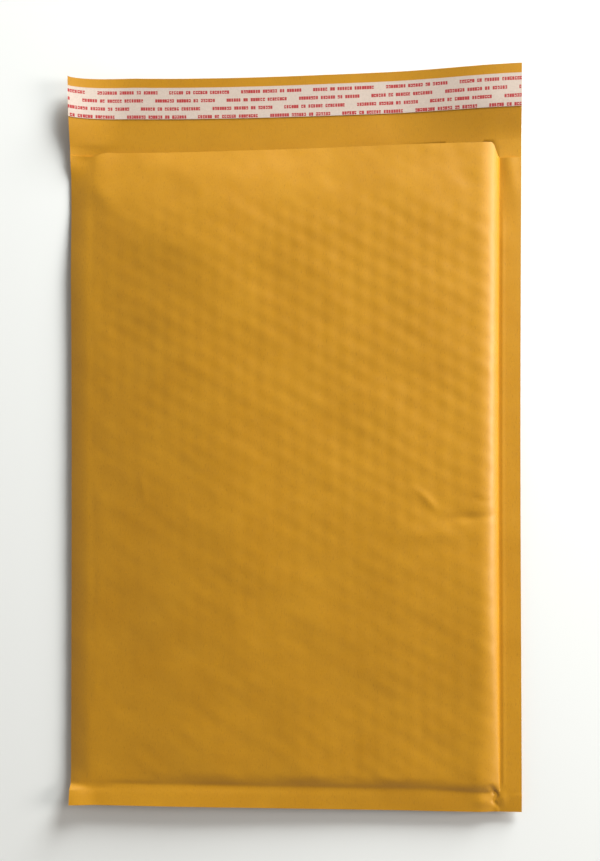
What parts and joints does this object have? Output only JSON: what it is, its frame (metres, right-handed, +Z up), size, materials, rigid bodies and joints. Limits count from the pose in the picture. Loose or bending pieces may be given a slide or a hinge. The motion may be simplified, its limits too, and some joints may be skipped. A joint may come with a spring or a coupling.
{
  "type": "padded envelope",
  "caption": "Open self-seal kraft paper mailing envelope with a bubble film lining, flat side seals and a flap with a release liner.",
  "frame": {"origin": "centre of the bounding box, on the surface the envelope lies on", "axes": "+X across the envelope, +Y from the bottom fold to the flap, +Z up through the front panel"},
  "size_m": [0.267, 0.435, 0.0135],
  "materials": {
    "kraft_paper": "brown kraft paper with a faint machine sheen, round prints of the bubbles under it",
    "bubble_film": "clear polyethylene bubble film",
    "adhesive": "tacky translucent hot-melt adhesive",
    "liner_paper": "smooth silicone-coated paper with small red marks"
  },
  "bodies": {
    "root": {"kraft_sheet": "kraft_paper", "bubble_lining": "bubble_film", "adhesive_strip": "adhesive", "release_liner": "liner_paper"}
  },
  "joints": []
}
